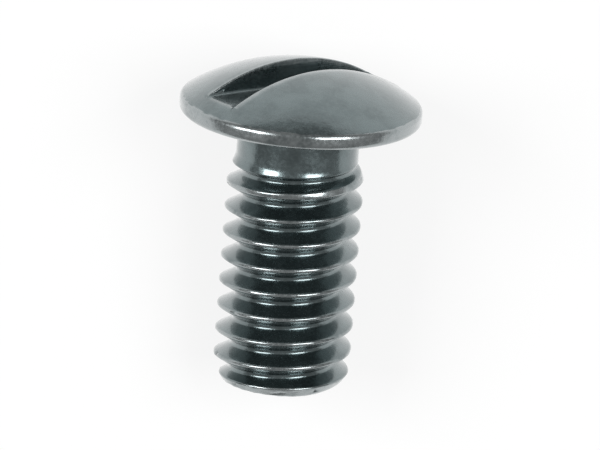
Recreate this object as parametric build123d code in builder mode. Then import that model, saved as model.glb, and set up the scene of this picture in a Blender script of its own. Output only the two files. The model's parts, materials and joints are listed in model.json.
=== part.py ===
# Slotted round-head machine screw, M2.5 x 0.45, 5 mm long, lying on its side.
#
# Units are millimetres. The screw is made upright first: its axis is Z, the face
# under its head is z = 0, the head rises above it and the shank hangs below. The
# side that it comes to lie on is +Y. Then it is laid on the ground: +Z is up, the
# head points towards +Y, and the origin is in the middle of its footprint.

import os
from math import asin, atan2, ceil, cos, degrees, hypot, radians, sin, tan

from build123d import *

# Head: a shallow dome on a thin, rounded rim.
head_diameter = 4.28
head_height = 0.96
rim_height = 0.26
rim_rounding = 0.10

# Slot: cut straight across the dome, with a flat floor.
slot_width = 0.74
slot_depth = 0.50
slot_direction = 38.0

# Shank: a plain neck under the head, then thread down to the end.
shank_length = 4.85
neck_diameter = 2.16
neck_length = 0.70
neck_fillet = 0.20

# Over the last part of its length, the shank's radius shrinks by this much.
end_taper = 0.16
end_taper_length = 0.27

# Thread: metric and right-handed. The last crest is measured from the end of the
# screw along the underside, and the thread fades out in part of a turn at the neck.
thread_diameter = 2.42
pitch = 0.45
thread_angle = 60.0
last_crest = 0.32
runout_turns = 1.0

# The flats on the crests and in the roots of the thread, as shares of its pitch.
crest_share = 1 / 10
root_share = 1 / 6

# How far a cutting shape reaches past the surface that it cuts.
overcut = 0.02

head_radius = head_diameter / 2
neck_radius = neck_diameter / 2
thread_radius = thread_diameter / 2
end_height = -shank_length

# The dome is part of a sphere that starts at the top of the rim.
dome_height = head_height - rim_height
dome_radius = (head_radius**2 + dome_height**2) / (2 * dome_height)

# The groove between two turns: its flanks lean outwards from a flat root.
flank_lean = tan(radians(thread_angle / 2))
crest_flat = pitch * crest_share
root_flat = pitch * root_share
groove_depth = (pitch - crest_flat - root_flat) / 2 / flank_lean
root_radius = thread_radius - groove_depth
mouth_radius = thread_radius + overcut
mouth_width = root_flat + 2 * (mouth_radius - root_radius) * flank_lean

# The groove crosses the underside half a pitch from each crest. It is at full depth
# from the end of the screw up to the runout, where its root climbs to the neck's surface.
runout_length = pitch * runout_turns
thread_top = -neck_length - runout_length
groove_crossing = end_height + last_crest + pitch / 2
top_angle = 90 + 360 * (thread_top - groove_crossing) / pitch
full_turns = ceil((thread_top - end_height) / pitch + 1 / 2)
turn_starts = [thread_top - pitch * turn for turn in range(1, full_turns + 1)]
runout_climb = neck_radius + overcut - root_radius
runout_angle = degrees(atan2(runout_climb, runout_length))


def groove_cutter(length, cone_angle):
    """A solid that cuts the groove, along a helix that starts at z = 0 on the +X side."""
    with BuildPart() as cutter:
        with BuildLine() as path:
            Helix(pitch, length, thread_radius, cone_angle=cone_angle)
        with BuildSketch(Plane.XZ):
            with BuildLine():
                Polyline(
                    (root_radius, root_flat / 2),
                    (mouth_radius, mouth_width / 2),
                    (mouth_radius, -mouth_width / 2),
                    (root_radius, -root_flat / 2),
                    close=True,
                )
            make_face()
        sweep(path=path.line, is_frenet=True)
    return cutter.part


full_turn = groove_cutter(pitch, 0)
runout = groove_cutter(runout_length, runout_angle)

# One piece: the blank is turned from its profile, the slot is sawn across the dome,
# and the thread is formed around the shank.
with BuildPart() as upright_screw:
    with BuildSketch(Plane.XZ) as blank_profile:
        with BuildLine():
            Line((0, end_height), (0, head_height))
            RadiusArc((0, head_height), (head_radius, rim_height), dome_radius)
            Polyline(
                (head_radius, rim_height),
                (head_radius, 0),
                (neck_radius, 0),
                (neck_radius, -neck_length),
                (thread_radius, thread_top),
                (thread_radius, end_height + end_taper_length),
                (thread_radius - end_taper, end_height),
                (0, end_height),
            )
        make_face()
        fillet(blank_profile.vertices().group_by(Axis.X)[-1], rim_rounding)
        neck_corner = blank_profile.vertices().sort_by_distance((neck_radius, 0))[0]
        fillet(neck_corner, neck_fillet)
    revolve(axis=Axis.Z)

    slot_floor = Plane.XY.offset(head_height - slot_depth).rotated((0, 0, slot_direction))
    with BuildSketch(slot_floor):
        Rectangle(head_diameter, slot_width)
    extrude(amount=slot_depth + overcut, mode=Mode.SUBTRACT)

    with Locations(*[Location((0, 0, start), (0, 0, top_angle)) for start in turn_starts]):
        add(full_turn, mode=Mode.SUBTRACT)
    with Locations(Location((0, 0, thread_top), (0, 0, top_angle))):
        add(runout, mode=Mode.SUBTRACT)

# At rest the ground touches the rounding under the rim and the crest of the underside
# that it meets first, so the axis rises towards the head. Near the end the crests
# are lower, so the edges of the last crest and of the next one up are all tried.
rim_arc_radius = head_radius - rim_rounding


def leaning_angle(crest_edge):
    """The axis's angle if the ground touches the underside at this height and at the rim."""
    shrink = end_taper * max(0, 1 - (crest_edge - end_height) / end_taper_length)
    reach = rim_arc_radius - (thread_radius - shrink)
    drop = rim_rounding - crest_edge
    return atan2(reach, drop) + asin(rim_rounding / hypot(reach, drop))


last_crest_height = end_height + last_crest
crest_edges = [last_crest_height - crest_flat / 2, last_crest_height + crest_flat / 2]
crest_edges += [last_crest_height + pitch - crest_flat / 2]
rest_angle = min(leaning_angle(edge) for edge in crest_edges)
rest_lift = rim_arc_radius * cos(rest_angle) + rim_rounding * (1 - sin(rest_angle))

with BuildPart() as laid_screw:
    with Locations(Location((0, 0, rest_lift), (degrees(rest_angle) - 90, 0, 0))):
        add(upright_screw.part)
footprint_middle = laid_screw.part.bounding_box().center()

with BuildPart() as screw:
    with Locations((0, -footprint_middle.Y, 0)):
        add(laid_screw.part)
screw.part.label = "screw"

os.makedirs("parts", exist_ok=True)
export_step(screw.part, "parts/screw.step")
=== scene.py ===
# A small slotted round-head machine screw of blackened steel, lying on its side.
import json
from math import asin, ceil, cos, pi, radians, sin, sqrt, tan

import bmesh
import bpy
from mathutils import Matrix, Vector, noise


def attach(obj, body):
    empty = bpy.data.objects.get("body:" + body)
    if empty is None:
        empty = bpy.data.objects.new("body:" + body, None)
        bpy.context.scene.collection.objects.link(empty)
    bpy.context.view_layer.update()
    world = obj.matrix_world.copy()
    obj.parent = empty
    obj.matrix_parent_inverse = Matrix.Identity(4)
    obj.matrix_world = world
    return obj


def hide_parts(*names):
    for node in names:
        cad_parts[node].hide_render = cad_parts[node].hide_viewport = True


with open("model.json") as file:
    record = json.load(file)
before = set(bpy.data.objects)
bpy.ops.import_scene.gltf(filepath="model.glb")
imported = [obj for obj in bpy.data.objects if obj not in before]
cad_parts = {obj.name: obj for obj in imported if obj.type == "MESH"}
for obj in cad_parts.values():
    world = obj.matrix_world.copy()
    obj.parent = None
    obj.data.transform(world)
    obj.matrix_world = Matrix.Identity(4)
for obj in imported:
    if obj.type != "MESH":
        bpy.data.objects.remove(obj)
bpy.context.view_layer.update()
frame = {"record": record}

# THE SCREW
# One piece of carbon steel: the head is cold-forged, the slot is sawn across it, and
# the thread is rolled on the shank. Then it is blackened, which leaves a thin satin
# oxide that handling has rubbed thin along the sharpest edges.
#
# Sizes are in millimetres in the screw's own frame: its axis is Z, the face under the
# head is z = 0, the shank hangs below, and +Y is the side that it comes to lie on.
head_diameter = 4.28
head_height = 0.96
rim_height = 0.26
rim_rounding = 0.10
slot_width = 0.74
slot_depth = 0.50
slot_direction = radians(38.0)
shank_length = 4.85
neck_diameter = 2.16
neck_length = 0.70
neck_fillet = 0.20
end_taper = 0.16
end_taper_length = 0.27
thread_diameter = 2.42
thread_angle = radians(60.0)
pitch = 0.45
crest_share = 1 / 10
root_share = 1 / 6
last_crest = 0.32
runout_turns = 1.0

crest_flat = pitch * crest_share
root_flat = pitch * root_share
flank_lean = tan(thread_angle / 2)
end_height = -shank_length
neck_radius = neck_diameter / 2
thread_radius = thread_diameter / 2
root_radius = thread_radius - (pitch - crest_flat - root_flat) / 2 / flank_lean
thread_top = -neck_length - pitch * runout_turns

# The shank's rule is worked out for a grid of points. Its columns run down the screw
# and its rows follow the helix, so that each crest and root lies along a row. At the
# neck it meets the head in a ring, where points closer than the weld become one.
columns_around = 128
rows_per_pitch = 28
neck_joint = -0.40
weld = 0.0005

# The grid counts its turns from the slot's direction. On the underside, a quarter turn
# from +X, a groove lies half a pitch above the last crest.
underside_turn = 1 / 4 - slot_direction / (2 * pi)
groove_start = end_height + last_crest + pitch / 2 - underside_turn * pitch
grid_foot = groove_start - pitch * ceil((groove_start - end_height) / pitch + 1)
grid_rows = ceil(((neck_joint - grid_foot) / pitch + 1) * rows_per_pitch)


def feed(tree, socket, value):
    """Links another node's socket to this one, or sets this one to a plain value."""
    if isinstance(value, bpy.types.NodeSocket):
        tree.links.new(value, socket)
    else:
        socket.default_value = value


def worked(tree, operation, *values):
    """One Math node on sockets and plain numbers. Gives its result's socket."""
    node = tree.nodes.new("ShaderNodeMath")
    node.operation = operation
    for socket, value in zip(node.inputs, values):
        feed(tree, socket, value)
    return node.outputs[0]


def ranged(tree, value, low, high, first, last):
    """Maps a value from low..high to first..last with soft ends, and holds it there."""
    node = tree.nodes.new("ShaderNodeMapRange")
    node.interpolation_type = "SMOOTHSTEP"
    feed(tree, node.inputs["Value"], value)
    feed(tree, node.inputs["From Min"], low)
    feed(tree, node.inputs["From Max"], high)
    feed(tree, node.inputs["To Min"], first)
    feed(tree, node.inputs["To Max"], last)
    return node.outputs["Result"]


def textured(tree, place, scale, detail):
    """A Noise texture at a place, with about this many features to the unit of length."""
    node = tree.nodes.new("ShaderNodeTexNoise")
    tree.links.new(place, node.inputs["Vector"])
    feed(tree, node.inputs["Scale"], scale)
    node.inputs["Detail"].default_value = detail
    return node.outputs["Fac"]


def placed(tree, x, y, z):
    """A place from its three coordinates."""
    node = tree.nodes.new("ShaderNodeCombineXYZ")
    feed(tree, node.inputs["X"], x)
    feed(tree, node.inputs["Y"], y)
    feed(tree, node.inputs["Z"], z)
    return node.outputs["Vector"]


def shank_tree():
    """The node tree that bends a flat grid into the neck, the rolled thread and the end."""
    tree = bpy.data.node_groups.new("rolled_shank", "GeometryNodeTree")
    sizes = {
        "Pitch": pitch,
        "Thread Radius": thread_radius,
        "Root Radius": root_radius,
        "Neck Radius": neck_radius,
        "Neck Joint": neck_joint,
        "Neck Length": neck_length,
        "Thread Top": thread_top,
        "End Height": end_height,
        "End Taper": end_taper,
        "End Taper Length": end_taper_length,
        "End Hollow": 0.04,
        "Root Flat": root_flat,
        "Flank Lean": flank_lean,
        "Groove Start": groove_start,
        "Grid Foot": grid_foot,
        "Start Angle": slot_direction,
        "Root Rounding": 0.03,
        "Crest Rounding": 0.03,
        "Waviness": 0.012,
        "Waves": 1.6,
        "Level Wave": 0.6,
        "Nick Depth": 0.05,
        "Nicks": 7.0,
        "Least Nick": 0.60,
        "Full Nick": 0.78,
        "Rubbed Depth": 0.05,
        "Weld": weld,
    }
    counts = {"Columns": columns_around, "Rows": grid_rows, "Rows Per Pitch": rows_per_pitch}
    interface = tree.interface
    interface.new_socket("Geometry", in_out="INPUT", socket_type="NodeSocketGeometry")
    for numbers, kind in ((sizes, "NodeSocketFloat"), (counts, "NodeSocketInt")):
        for name, number in numbers.items():
            socket = interface.new_socket(name, in_out="INPUT", socket_type=kind)
            socket.default_value = number
    interface.new_socket("Finish", in_out="INPUT", socket_type="NodeSocketMaterial")
    interface.new_socket("Geometry", in_out="OUTPUT", socket_type="NodeSocketGeometry")
    given = tree.nodes.new("NodeGroupInput").outputs
    result = tree.nodes.new("NodeGroupOutput")

    # The grid is a unit square about the origin. It is one turn of the screw across, and
    # its first row starts a pitch low, because each row climbs by a pitch around the turn.
    grid = tree.nodes.new("GeometryNodeMeshGrid")
    tree.links.new(worked(tree, "ADD", given["Columns"], 1.0), grid.inputs["Vertices X"])
    tree.links.new(worked(tree, "ADD", given["Rows"], 1.0), grid.inputs["Vertices Y"])
    place = tree.nodes.new("ShaderNodeSeparateXYZ")
    tree.links.new(tree.nodes.new("GeometryNodeInputPosition").outputs[0], place.inputs[0])
    turn = worked(tree, "ADD", place.outputs["X"], 0.5)
    row = worked(tree, "MULTIPLY", worked(tree, "ADD", place.outputs["Y"], 0.5), given["Rows"])
    pitches_up = worked(tree, "ADD", worked(tree, "DIVIDE", row, given["Rows Per Pitch"]), -1.0)
    pitches_up = worked(tree, "ADD", pitches_up, turn)

    # Rows past either end of the shank gather on its edge. Below, they run in to the centre.
    free_height = worked(tree, "MULTIPLY_ADD", pitches_up, given["Pitch"], given["Grid Foot"])
    height = worked(tree, "MINIMUM", free_height, given["Neck Joint"])
    height = worked(tree, "MAXIMUM", height, given["End Height"])
    below_edge = worked(tree, "SUBTRACT", free_height, given["Grid Foot"])
    edge_reach = worked(tree, "SUBTRACT", given["End Height"], given["Grid Foot"])
    inward = worked(tree, "DIVIDE", below_edge, edge_reach)
    inward = worked(tree, "MAXIMUM", worked(tree, "MINIMUM", inward, 1.0), 0.0)

    # How far along the axis a point lies from the middle of the nearest groove.
    above_start = worked(tree, "SUBTRACT", height, given["Groove Start"])
    grooves_up = worked(tree, "DIVIDE", above_start, given["Pitch"])
    grooves_up = worked(tree, "SUBTRACT", grooves_up, turn)
    off_groove = worked(tree, "SUBTRACT", grooves_up, worked(tree, "ROUND", grooves_up))
    off_groove = worked(tree, "MULTIPLY", off_groove, given["Pitch"])
    groove_height = worked(tree, "SUBTRACT", height, off_groove)
    off_groove = worked(tree, "ABSOLUTE", off_groove)

    # The groove: a flat root, two flanks and a climb out of the shank at the runout.
    neck_end = worked(tree, "MULTIPLY", given["Neck Length"], -1.0)
    runout = worked(tree, "SUBTRACT", neck_end, given["Thread Top"])
    above_thread = worked(tree, "SUBTRACT", groove_height, given["Thread Top"])
    climb = worked(tree, "MAXIMUM", worked(tree, "DIVIDE", above_thread, runout), 0.0)
    to_neck = worked(tree, "SUBTRACT", given["Neck Radius"], given["Root Radius"])
    root = worked(tree, "MULTIPLY_ADD", climb, to_neck, given["Root Radius"])
    beside_root = worked(tree, "MULTIPLY_ADD", given["Root Flat"], -0.5, off_groove)
    flank = worked(tree, "ADD", root, worked(tree, "DIVIDE", beside_root, given["Flank Lean"]))
    groove = worked(tree, "SMOOTH_MAX", root, flank, given["Root Rounding"])

    # The surface that is grooved: the neck swells into the thread, and the end is tapered.
    radii = given["Thread Radius"], given["Neck Radius"]
    swell = ranged(tree, height, given["Thread Top"], neck_end, *radii)
    above_end = worked(tree, "SUBTRACT", height, given["End Height"])
    taper = worked(tree, "DIVIDE", above_end, given["End Taper Length"])
    taper = worked(tree, "SUBTRACT", taper, 1.0)
    taper = worked(tree, "MULTIPLY_ADD", taper, given["End Taper"], given["Thread Radius"])
    blank = worked(tree, "SMOOTH_MIN", swell, taper, given["Crest Rounding"])
    radius = worked(tree, "SMOOTH_MIN", groove, blank, given["Crest Rounding"])

    # No rolled thread is quite even. It waves a little, mostly inwards, and handling has
    # nicked its crests in the few places where the finer of the two textures is high.
    angle = worked(tree, "MULTIPLY_ADD", turn, 2 * pi, given["Start Angle"])
    sideways = worked(tree, "COSINE", angle)
    downwards = worked(tree, "SINE", angle)
    spot = placed(tree, sideways, downwards, height)
    waves = textured(tree, spot, given["Waves"], 2.0)
    nicks = textured(tree, spot, given["Nicks"], 2.0)
    on_thread = ranged(tree, swell, given["Neck Radius"], given["Thread Radius"], 0.0, 1.0)
    wave = worked(tree, "SUBTRACT", waves, given["Level Wave"])
    wave = worked(tree, "MULTIPLY", wave, given["Waviness"])
    radius = worked(tree, "MULTIPLY_ADD", wave, on_thread, radius)
    nick = ranged(tree, nicks, given["Least Nick"], given["Full Nick"], 0.0, 1.0)
    nick = worked(tree, "MULTIPLY", nick, given["Nick Depth"])
    nicked = worked(tree, "SUBTRACT", blank, worked(tree, "MULTIPLY", nick, on_thread))
    radius = worked(tree, "MINIMUM", radius, nicked)

    # Rubbed along the crests, where the thread stands proud of the neck, and less on the end.
    below_crest = worked(tree, "SUBTRACT", blank, radius)
    on_crest = ranged(tree, below_crest, 0.0, given["Rubbed Depth"], 1.0, 0.0)
    off_end = ranged(tree, inward, 0.85, 1.0, 0.2, 1.0)
    rubbed = worked(tree, "MULTIPLY", worked(tree, "MULTIPLY", on_crest, on_thread), off_end)

    # The end face is a little hollow towards its middle.
    hollow = worked(tree, "SUBTRACT", 1.0, worked(tree, "MULTIPLY", inward, inward))
    height = worked(tree, "MULTIPLY_ADD", hollow, given["End Hollow"], height)
    reach = worked(tree, "MULTIPLY", radius, inward)
    x = worked(tree, "MULTIPLY", reach, sideways)
    y = worked(tree, "MULTIPLY", reach, downwards)

    worn = tree.nodes.new("GeometryNodeStoreNamedAttribute")
    worn.data_type = "FLOAT"
    worn.domain = "POINT"
    worn.inputs["Name"].default_value = "rubbed"
    tree.links.new(grid.outputs["Mesh"], worn.inputs["Geometry"])
    tree.links.new(rubbed, worn.inputs["Value"])
    moved = tree.nodes.new("GeometryNodeSetPosition")
    tree.links.new(worn.outputs["Geometry"], moved.inputs["Geometry"])
    tree.links.new(placed(tree, x, y, height), moved.inputs["Position"])
    merged = tree.nodes.new("GeometryNodeMergeByDistance")
    tree.links.new(moved.outputs["Geometry"], merged.inputs["Geometry"])
    tree.links.new(given["Weld"], merged.inputs["Distance"])
    real = tree.nodes.new("GeometryNodeRealizeInstances")
    tree.links.new(merged.outputs["Geometry"], real.inputs["Geometry"])
    finished = tree.nodes.new("GeometryNodeSetMaterial")
    tree.links.new(real.outputs["Geometry"], finished.inputs["Geometry"])
    tree.links.new(given["Finish"], finished.inputs["Material"])
    tree.links.new(finished.outputs["Geometry"], result.inputs["Geometry"])
    return tree


def made_by_nodes(name, tree, **values):
    """Runs a node tree on an empty object, with some inputs set, and gives the plain mesh."""
    holder = bpy.data.objects.new(name, bpy.data.meshes.new(name))
    bpy.context.scene.collection.objects.link(holder)
    modifier = holder.modifiers.new(name, "NODES")
    modifier.node_group = tree
    inputs = [item for item in tree.interface.items_tree if item.in_out == "INPUT"]
    sockets = {item.name: item.identifier for item in inputs}
    for label, value in values.items():
        modifier[sockets[label]] = value
    evaluated = holder.evaluated_get(bpy.context.evaluated_depsgraph_get())
    made = bpy.data.meshes.new_from_object(evaluated)
    bpy.data.objects.remove(holder)
    return made


# The head is made as rings about the axis, from the neck out over the rim to the edge of
# the dome. Each ring has as many points as the shank has columns.
head_radius = head_diameter / 2
dome_height = head_height - rim_height
dome_radius = (head_radius**2 + dome_height**2) / (2 * dome_height)
dome_centre = head_height - dome_radius
rim_arc_radius = head_radius - rim_rounding
dome_edge_lean = asin(rim_arc_radius / (dome_radius - rim_rounding))
upper_arc_height = dome_centre + (dome_radius - rim_rounding) * cos(dome_edge_lean)
upper_arc_turn = pi / 2 - dome_edge_lean
dome_edge_radius = dome_radius * sin(dome_edge_lean)


def arc(distance, height, radius, first, last, steps):
    """Points along an arc of the profile, each as its distance from the axis and its height."""
    turns = [first + (last - first) * step / steps for step in range(steps + 1)]
    return [(distance + radius * cos(turn), height + radius * sin(turn)) for turn in turns]


fillet_steps = 8
bearing_steps = 5
lower_rim_steps = 7
upper_rim_steps = 6
bearing_start = neck_radius + neck_fillet
bearing_width = rim_arc_radius - bearing_start
head_profile = [(neck_radius, neck_joint), (neck_radius, (neck_joint - neck_fillet) / 2)]
head_profile += arc(bearing_start, -neck_fillet, neck_fillet, pi, pi / 2, fillet_steps)
for step in range(1, bearing_steps):
    head_profile.append((bearing_start + bearing_width * step / bearing_steps, 0.0))
head_profile += arc(rim_arc_radius, rim_rounding, rim_rounding, -pi / 2, 0, lower_rim_steps)
head_profile += arc(
    rim_arc_radius, upper_arc_height, rim_rounding, 0, upper_arc_turn, upper_rim_steps
)

# Across the slot, the dome's rows are: the dome, the rounded edge, the wall, the rounded
# corner and the floor, and the same again up the other side. Each row is its distance
# from the slot's middle, its share of the depth and some extra depth. There are half as
# many steps from row to row as columns in the shank, so that the rows end on the rim's points.
edge_rounding = 0.025
corner_rounding = 0.05
half_slot = slot_width / 2
slot_mouth = half_slot + edge_rounding
floor_edge = half_slot - corner_rounding
edge_steps = 4
wall_steps = 3
corner_steps = 3
floor_steps = 4
dome_steps = columns_around // 4 - edge_steps - wall_steps - corner_steps - floor_steps
half_rows = []
for step in range(dome_steps):
    outward = cos(step / dome_steps * pi / 2)
    half_rows.append((slot_mouth + (dome_edge_radius - slot_mouth) * outward, 0.0, 0.0))
for step in range(edge_steps):
    turned = step / edge_steps * pi / 2
    distance = half_slot + edge_rounding * (1 - sin(turned))
    half_rows.append((distance, 0.0, edge_rounding * (1 - cos(turned))))
for step in range(wall_steps):
    down = step / wall_steps
    half_rows.append((half_slot, down, edge_rounding * (1 - down)))
for step in range(corner_steps):
    turned = step / corner_steps * pi / 2
    distance = half_slot - corner_rounding * (1 - cos(turned))
    half_rows.append((distance, 1.0, -corner_rounding * (1 - sin(turned))))
for step in range(floor_steps):
    half_rows.append((floor_edge * (1 - step / floor_steps), 1.0, 0.0))
slot_rows = [(-distance, share, extra) for distance, share, extra in half_rows]
slot_rows += [(0.0, 1.0, 0.0)]
slot_rows += reversed(half_rows)

# Along the slot, a row's last points gather on the rim's. The slot's floor runs out of
# the dome there, and its depth fades to nothing over the run-in. The saw wandered a
# little, and the walls show its lines in full from the sawn depth down.
dome_columns = 112
gather_from = 0.88
slot_floor = head_height - slot_depth
run_in = 0.015
saw_wander = 0.008
wanders_along = 9
wanders_across = 3
sawn_depth = 0.05


def dome_point(row, column):
    """A point of the slotted dome, how much its edge is rubbed and how much it was sawn."""
    across, share, extra = slot_rows[row]
    along = 2 * column / dome_columns - 1
    if floor_edge <= abs(across) <= slot_mouth:
        wander_spot = Vector((along * wanders_along, across * wanders_across, share))
        across += saw_wander * noise.noise(wander_spot)
    edge_across = dome_edge_radius * sin(pi * (row / (len(slot_rows) - 1) - 0.5))
    gather = min(max((abs(along) - gather_from) / (1 - gather_from), 0.0), 1.0)
    gather = gather * gather * (3 - 2 * gather)
    across += (edge_across - across) * gather
    along *= sqrt(max(dome_edge_radius**2 - across**2, 0.0))
    surface = dome_centre + sqrt(dome_radius**2 - along**2 - across**2)
    room = surface - slot_floor
    depth = (room + sqrt(room**2 + run_in**2)) / 2
    depth = depth if depth > run_in / 4 else 0.0
    sunk = min(max(share * depth + extra, 0.0), depth)
    by_edge = share == 0.0 and abs(across) < slot_mouth + edge_rounding
    rubbed = 1.0 if by_edge and depth > run_in else 0.0
    turned_x = along * cos(slot_direction) - across * sin(slot_direction)
    turned_y = along * sin(slot_direction) + across * cos(slot_direction)
    return (turned_x, turned_y, surface - sunk), rubbed, min(1.0, sunk / sawn_depth)


# The rim is rubbed the most. Near the slot's ends, points within the head's weld become one.
rim_rubbed = 1.1
head_weld = 0.0012


def head_mesh():
    """The head, from the neck's ring to the slotted dome."""
    made = bmesh.new()
    rubbed_layer = made.verts.layers.float.new("rubbed")
    sawn_layer = made.verts.layers.float.new("sawn")

    def point(place, rubbed, sawn):
        vertex = made.verts.new(place)
        vertex[rubbed_layer] = rubbed
        vertex[sawn_layer] = sawn
        return vertex

    turns = [slot_direction + 2 * pi * column / columns_around for column in range(columns_around)]
    rings = []
    for distance, height in head_profile:
        rubbed = rim_rubbed if distance > rim_arc_radius + rim_rounding / 2 else 0.0
        places = [(distance * cos(turn), distance * sin(turn), height) for turn in turns]
        rings.append([point(place, rubbed, 0.0) for place in places])
    for lower, upper in zip(rings, rings[1:]):
        for column in range(columns_around):
            following = (column + 1) % columns_around
            made.faces.new((lower[column], lower[following], upper[following], upper[column]))

    dome = []
    for row in range(len(slot_rows)):
        dome.append([point(*dome_point(row, column)) for column in range(dome_columns + 1)])
    for lower, upper in zip(dome, dome[1:]):
        for column in range(dome_columns):
            made.faces.new((lower[column], lower[column + 1], upper[column + 1], upper[column]))
    bmesh.ops.remove_doubles(made, verts=made.verts, dist=head_weld)
    mesh = bpy.data.meshes.new("screw_head")
    made.to_mesh(mesh)
    made.free()
    return mesh


# The drive slot's mount lies in the middle of the slot's floor and points along the axis.
slot_mount = next(mount for mount in frame["record"]["mounts"] if mount["name"] == "drive_slot")
to_head = Vector(slot_mount["axis"])
millimetre = 0.001
origin = Vector(slot_mount["pos_m"]) - to_head * slot_floor * millimetre
lean = to_head.angle(Vector((0, 0, 1)))
laid = Matrix.Translation(origin) @ Matrix.Rotation(-lean, 4, "X") @ Matrix.Scale(millimetre, 4)
along_slot = laid.to_3x3() @ Vector((cos(slot_direction), sin(slot_direction), 0)) / millimetre

# The finish's colours, and the largest shares that the grains and the bare steel take.
dark_oxide = (0.111, 0.145, 0.150, 1.0)
pale_oxide = (0.157, 0.200, 0.206, 1.0)
grey_grains = (0.182, 0.226, 0.231, 1.0)
bare_steel = (0.40, 0.43, 0.435, 1.0)
most_grains = 0.35
most_bare = 0.75

# How rough the grains make the oxide, and how much the pale patches and the saw add.
smoothest = 0.18
roughest = 0.26
patch_roughness = 0.05
saw_roughness = 0.08

# A scale is a number of features to the millimetre, for a place in metres. The heights of
# the dimples and the saw's lines are in heights of the grains.
patch_scale = 2.2 / millimetre
grain_scale = 16.0 / millimetre
dimple_scale = 5.0 / millimetre
saw_line_scale = 20.0 / millimetre
saw_line_share = 0.03
dimple_height = 3.0
saw_line_height = 8.0
bump_strength = 0.35
bump_height = 0.004 * millimetre


def drawn_out(tree, place, direction, share):
    """Cuts a place's measure along a direction to a share, which draws a texture out there."""
    along = tree.nodes.new("ShaderNodeVectorMath")
    along.operation = "DOT_PRODUCT"
    tree.links.new(place, along.inputs[0])
    along.inputs[1].default_value = direction
    back = tree.nodes.new("ShaderNodeVectorMath")
    back.operation = "SCALE"
    back.inputs[0].default_value = direction
    cut = worked(tree, "MULTIPLY", along.outputs["Value"], share - 1)
    tree.links.new(cut, back.inputs["Scale"])
    drawn = tree.nodes.new("ShaderNodeVectorMath")
    tree.links.new(place, drawn.inputs[0])
    tree.links.new(back.outputs["Vector"], drawn.inputs[1])
    return drawn.outputs["Vector"]


def blended(tree, share, first, second):
    """Mixes two colours by a share. A Mix node's colours are its sockets 6 and 7."""
    node = tree.nodes.new("ShaderNodeMix")
    node.data_type = "RGBA"
    feed(tree, node.inputs["Factor"], share)
    feed(tree, node.inputs[6], first)
    feed(tree, node.inputs[7], second)
    return node.outputs[2]


def stored(tree, name):
    """What the mesh holds at each point under this name."""
    node = tree.nodes.new("ShaderNodeAttribute")
    node.attribute_name = name
    return node.outputs["Fac"]


def blackened_steel():
    """Black oxide on steel: mottled blue-grey, satin, and rubbed through to grey on the edges."""
    material = bpy.data.materials.new("blackened_steel")
    material.use_nodes = True
    tree = material.node_tree
    steel = tree.nodes["Principled BSDF"]
    steel.inputs["Metallic"].default_value = 1.0
    steel.inputs["Coat Weight"].default_value = 1.0
    steel.inputs["Coat Roughness"].default_value = 0.12

    # The oxide is mottled in patches and dusted with fine grains.
    place = tree.nodes.new("ShaderNodeTexCoord").outputs["Object"]
    patches = textured(tree, place, patch_scale, 3.0)
    grains = textured(tree, place, grain_scale, 2.0)
    patchy = ranged(tree, patches, 0.35, 0.65, 0.0, 1.0)
    grainy = ranged(tree, grains, 0.38, 0.70, 0.0, most_grains)
    oxide = blended(tree, patchy, dark_oxide, pale_oxide)
    oxide = blended(tree, grainy, oxide, grey_grains)

    # Rubbed edges are bare, but unevenly, as the patches and grains go.
    rubbed = stored(tree, "rubbed")
    uneven = worked(tree, "MULTIPLY_ADD", patches, 1.6, -0.35)
    uneven = worked(tree, "MULTIPLY_ADD", grains, 0.6, uneven)
    rubbed = worked(tree, "MULTIPLY", rubbed, uneven)
    bare = ranged(tree, rubbed, 0.15, 0.95, 0.0, most_bare)
    tree.links.new(blended(tree, bare, oxide, bare_steel), steel.inputs["Base Color"])

    # It is satin, a little rougher in the pale patches and where it was sawn.
    sawn = stored(tree, "sawn")
    roughness = ranged(tree, grains, 0.3, 0.7, smoothest, roughest)
    roughness = worked(tree, "MULTIPLY_ADD", patchy, patch_roughness, roughness)
    roughness = worked(tree, "MULTIPLY_ADD", sawn, saw_roughness, roughness)
    tree.links.new(roughness, steel.inputs["Roughness"])

    # The saw leaves fine lines along the slot. Elsewhere the surface is dimpled a little.
    dimples = textured(tree, place, dimple_scale, 2.0)
    slot_place = drawn_out(tree, place, along_slot, saw_line_share)
    saw_lines = worked(tree, "MULTIPLY", textured(tree, slot_place, saw_line_scale, 3.0), sawn)
    surface = worked(tree, "MULTIPLY_ADD", dimples, dimple_height, grains)
    surface = worked(tree, "MULTIPLY_ADD", saw_lines, saw_line_height, surface)
    bump = tree.nodes.new("ShaderNodeBump")
    bump.inputs["Strength"].default_value = bump_strength
    bump.inputs["Distance"].default_value = bump_height
    tree.links.new(surface, bump.inputs["Height"])
    tree.links.new(bump.outputs["Normal"], steel.inputs["Normal"])
    return material


# The shank and the head are joined at the neck, slivers are taken out, and the screw is laid.
sliver = 0.00005
finish = blackened_steel()
shank = made_by_nodes("screw_shank", shank_tree(), Finish=finish)
head = head_mesh()
made = bmesh.new()
made.from_mesh(shank)
made.from_mesh(head)
bmesh.ops.remove_doubles(made, verts=made.verts, dist=weld)
bmesh.ops.dissolve_degenerate(made, edges=made.edges, dist=sliver)
bmesh.ops.recalc_face_normals(made, faces=made.faces)
for face in made.faces:
    face.smooth = True
made.transform(laid)
screw_mesh = bpy.data.meshes.new("screw_body")
made.to_mesh(screw_mesh)
made.free()
screw_mesh.materials.append(finish)
screw = bpy.data.objects.new("screw_body", screw_mesh)
bpy.context.scene.collection.objects.link(screw)
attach(screw, "root")
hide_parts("screw")

# THE STUDIO
# A pale floor, two soft lamps to the left and right of the camera, and a camera that
# looks down on the screw at the photograph's angle and turn, but from closer.
scene = bpy.context.scene
scene.view_settings.view_transform = "Standard"

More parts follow.
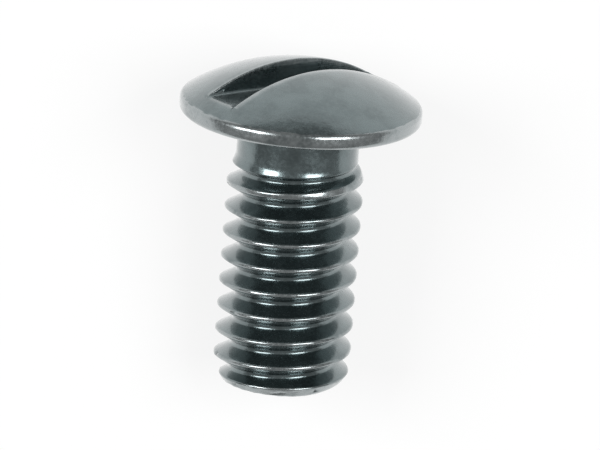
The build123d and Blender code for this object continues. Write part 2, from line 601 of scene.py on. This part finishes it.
# The floor's own colour, and how much of it is plain white to the camera and to the steel.
floor_half = 0.4
floor_colour = (0.85, 0.85, 0.85, 1.0)
white_to_camera = 0.8
white_to_steel = 0.95


def pale_floor():
    """Matt and nearly white, and as white as the background to the camera and in reflections."""
    material = bpy.data.materials.new("floor")
    material.use_nodes = True
    tree = material.node_tree
    matt = tree.nodes["Principled BSDF"]
    matt.inputs["Base Color"].default_value = floor_colour
    matt.inputs["Roughness"].default_value = 0.9
    matt.inputs["Specular IOR Level"].default_value = 0.2
    ray = tree.nodes.new("ShaderNodeLightPath")
    seen = worked(tree, "MULTIPLY", ray.outputs["Is Glossy Ray"], white_to_steel)
    seen = worked(tree, "MULTIPLY_ADD", ray.outputs["Is Camera Ray"], white_to_camera, seen)
    white = tree.nodes.new("ShaderNodeEmission")
    mixed = tree.nodes.new("ShaderNodeMixShader")
    tree.links.new(seen, mixed.inputs["Fac"])
    tree.links.new(matt.outputs["BSDF"], mixed.inputs[1])
    tree.links.new(white.outputs["Emission"], mixed.inputs[2])
    tree.links.new(mixed.outputs[0], tree.nodes["Material Output"].inputs["Surface"])
    return material


floor_mesh = bpy.data.meshes.new("floor")
sides = [(-1, -1), (1, -1), (1, 1), (-1, 1)]
corners = [(x * floor_half, y * floor_half, 0) for x, y in sides]
floor_mesh.from_pydata(corners, [], [(0, 1, 2, 3)])
floor_mesh.materials.append(pale_floor())
floor = bpy.data.objects.new("floor", floor_mesh)
scene.collection.objects.link(floor)

# The sky is white to the camera and gives the screw a little light from all around.
sky_light = 0.30
world = bpy.data.worlds.new("studio")
scene.world = world
world.use_nodes = True
sky = world.node_tree
ray = sky.nodes.new("ShaderNodeLightPath")
strength = worked(sky, "MULTIPLY_ADD", ray.outputs["Is Camera Ray"], 1 - sky_light, sky_light)
sky.links.new(strength, sky.nodes["Background"].inputs["Strength"])
sky.nodes["Background"].inputs["Color"].default_value = (1.0, 1.0, 1.0, 1.0)

# Each lamp's angles from straight over the shank, in degrees to the right and to the head.
lamp_distance = 0.40
lamp_width = 0.20
lamp_power = 1.0
left_lamp = (-46.0, 14.0)
right_lamp = (33.0, 14.0)


def soft_lamp(name, sideways, headwards):
    """A square lamp that faces the screw, placed by its angles from straight over the shank."""
    side, head = radians(sideways), radians(headwards)
    over = Vector((0, -to_head.z, to_head.y))
    around = sin(side) * Vector((1, 0, 0)) + cos(side) * over
    light = bpy.data.lights.new(name, "AREA")
    light.size = lamp_width
    light.energy = lamp_power
    lamp = bpy.data.objects.new(name, light)
    scene.collection.objects.link(lamp)
    lamp.location = lamp_distance * (cos(head) * around + sin(head) * to_head)
    lamp.rotation_euler = (-lamp.location).to_track_quat("-Z", "Y").to_euler()


soft_lamp("left_lamp", *left_lamp)
soft_lamp("right_lamp", *right_lamp)

# The photograph's scale at the screw in pixels to the millimetre, its pixel at the middle
# of the face under the head, and its pixel that lies in the middle of the render. The
# render is as wide as the photograph, and this many times closer.
photo_scale = 8.13
photo_bearing = (297.05, 210.4)
photo_middle = (297.0, 226.0)
image_width = 600
closer = 7.0
camera_lean = radians(5.5)
camera_roll = radians(4.46)
camera_distance = 0.3

camera_data = bpy.data.cameras.new("camera")
camera = bpy.data.objects.new("camera", camera_data)
scene.collection.objects.link(camera)
scene.camera = camera
camera_data.sensor_width = 36.0
camera_data.clip_start = 0.01
camera_data.clip_end = 5.0
image_metres = image_width / (photo_scale * closer) * millimetre
camera_data.lens = camera_data.sensor_width * camera_distance / image_metres
away = Vector((0, sin(camera_lean), cos(camera_lean)))
upward = Vector((0, cos(camera_lean), -sin(camera_lean)))
turned = Matrix((Vector((1, 0, 0)), upward, away)).transposed()
turned = turned @ Matrix.Rotation(camera_roll, 3, "Z")
across = (photo_bearing[0] - photo_middle[0]) / photo_scale * millimetre
down = (photo_bearing[1] - photo_middle[1]) / photo_scale * millimetre
looked_at = origin - turned.col[0] * across + turned.col[1] * down
camera.location = looked_at + away * camera_distance
camera.rotation_euler = turned.to_euler()
